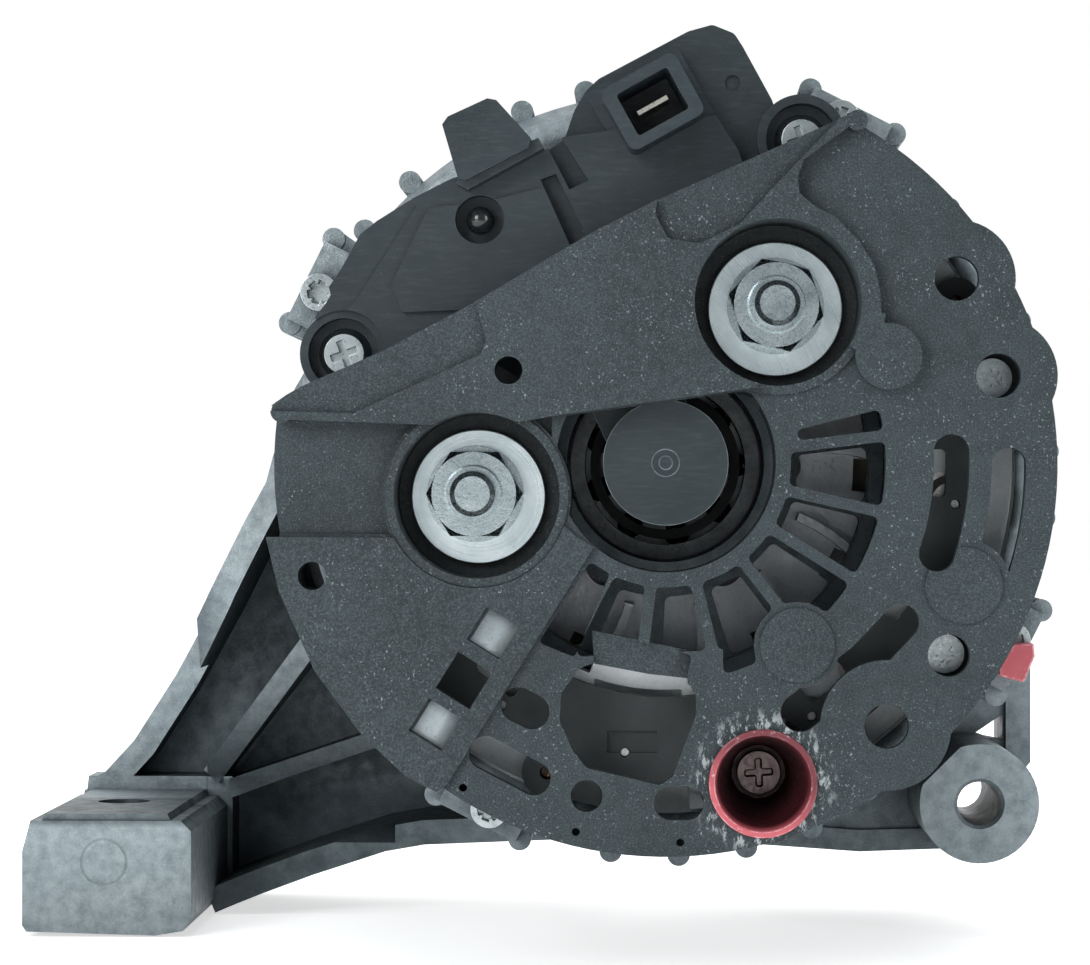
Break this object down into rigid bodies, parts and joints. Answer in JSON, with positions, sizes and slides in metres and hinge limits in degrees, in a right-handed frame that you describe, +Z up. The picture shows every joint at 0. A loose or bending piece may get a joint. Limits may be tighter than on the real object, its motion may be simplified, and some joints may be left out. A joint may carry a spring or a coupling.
{
  "type": "car alternator",
  "caption": "Car alternator with cast end frames, side bracket and pivot boss, black rear cover with terminal recesses, voltage regulator with plug socket, claw-pole rotor and belt pulley.",
  "frame": {"origin": "on the shaft axis, in the middle of the belt track of the pulley", "axes": "+Y along the shaft towards the pulley, so the rear cover faces -Y; +Z up as the picture shows it; +X to the right seen from behind, towards the pivot boss; the bracket foot is at -X, -Z"},
  "size_m": [0.1998, 0.1959, 0.1703],
  "materials": {
    "cast_aluminium": "as-cast, shot-blasted, fine grain",
    "steel_laminations": "stacked sheet edges, dull",
    "enamelled_copper": "copper wire under amber enamel",
    "zinc_steel": "zinc plated, bright",
    "shaft_steel": "ground steel",
    "pole_steel": "forged low-carbon steel, dull",
    "bobbin_plastic": "natural nylon",
    "fan_steel": "pressed sheet steel",
    "slip_ring_copper": "turned copper",
    "ring_insulation": "moulded resin",
    "bearing_steel": "polished bearing steel",
    "cage_plastic": "glass-filled nylon",
    "sleeve_plastic": "moulded plastic",
    "plate_steel": "pressed plate",
    "pulley_steel": "phosphated and blacked steel",
    "cover_plastic": "black glass-filled plastic with a fine grain, worn edges",
    "regulator_plastic": "smooth black plastic",
    "plug_plastic": "glossy black",
    "terminal_tin": "tinned brass",
    "brush_carbon": "copper-graphite",
    "spring_steel": "drawn spring wire",
    "heat_sink_aluminium": "pressed sheet",
    "diode_copper": "nickel-plated copper",
    "insulator_plastic": "moulded plastic",
    "sleeve_red": "rose-red plastic",
    "dark_screw": "oiled steel"
  },
  "bodies": {
    "housing": {"front_frame": "cast_aluminium", "rear_frame": "cast_aluminium", "stator_core": "steel_laminations", "stator_winding": "enamelled_copper", "stator_leads": "enamelled_copper", "through_bolts": "zinc_steel", "front_bearing_outer_race": "bearing_steel", "rear_bearing_outer_race": "bearing_steel", "rear_bearing_sleeve": "sleeve_plastic", "bearing_retainer_plate": "plate_steel", "retainer_screws": "zinc_steel", "rear_cover": "cover_plastic", "regulator_body": "regulator_plastic", "brush_holder": "regulator_plastic", "regulator_terminal": "terminal_tin", "regulator_screws": "zinc_steel", "regulator_plug": "plug_plastic", "brush_spring_inner": "spring_steel", "brush_spring_outer": "spring_steel", "positive_heat_sink": "heat_sink_aluminium", "negative_heat_sink": "heat_sink_aluminium", "positive_diodes": "diode_copper", "negative_diodes": "diode_copper", "rectifier_insulator": "insulator_plastic", "rectifier_terminal_frame": "insulator_plastic", "rectifier_screws": "zinc_steel", "b_plus_stud_left": "zinc_steel", "b_plus_stud_right": "zinc_steel", "b_plus_nuts": "zinc_steel", "b_plus_washers": "zinc_steel", "screw_sleeve": "sleeve_red", "sleeve_screw": "dark_screw", "insulator_tab": "sleeve_red", "cable_clip": "regulator_plastic"},
    "rotor": {"rotor_shaft": "shaft_steel", "claw_pole_front": "pole_steel", "claw_pole_rear": "pole_steel", "field_coil": "enamelled_copper", "coil_bobbin": "bobbin_plastic", "front_fan": "fan_steel", "rear_fan": "fan_steel", "slip_ring_inner": "slip_ring_copper", "slip_ring_outer": "slip_ring_copper", "slip_ring_insulator": "ring_insulation", "front_bearing_inner_race": "bearing_steel", "rear_bearing_inner_race": "bearing_steel", "shaft_spacer": "shaft_steel", "pulley": "pulley_steel", "pulley_nut": "zinc_steel"},
    "front_bearing_set": {"front_bearing_balls": "bearing_steel", "front_bearing_cage": "cage_plastic"},
    "rear_bearing_set": {"rear_bearing_balls": "bearing_steel", "rear_bearing_cage": "cage_plastic"},
    "inner_brush": {"brush_inner": "brush_carbon"},
    "outer_brush": {"brush_outer": "brush_carbon"}
  },
  "joints": [
    {"name": "rotor_spin", "type": "hinge", "parent": "housing", "child": "rotor", "pos_m": [0, 0, 0], "axis": [0, 1, 0], "continuous": true},
    {"name": "front_cage_spin", "type": "hinge", "parent": "housing", "child": "front_bearing_set", "pos_m": [0, 0, 0], "axis": [0, 1, 0], "continuous": true},
    {"name": "rear_cage_spin", "type": "hinge", "parent": "housing", "child": "rear_bearing_set", "pos_m": [0, 0, 0], "axis": [0, 1, 0], "continuous": true},
    {"name": "brush_inner_slide", "type": "slide", "parent": "housing", "child": "inner_brush", "axis": [-0.4226, 0, 0.9063], "range_m": [0, 0.005], "stiffness_N_per_m": 300, "springref_m": -0.006, "deforming": ["brush_spring_inner"]},
    {"name": "brush_outer_slide", "type": "slide", "parent": "housing", "child": "outer_brush", "axis": [-0.4226, 0, 0.9063], "range_m": [0, 0.005], "stiffness_N_per_m": 300, "springref_m": -0.006, "deforming": ["brush_spring_outer"]}
  ],
  "couplings": [
    {"joint": "front_cage_spin", "follows": "rotor_spin", "ratio": 0.36375},
    {"joint": "rear_cage_spin", "follows": "rotor_spin", "ratio": 0.40846}
  ]
}
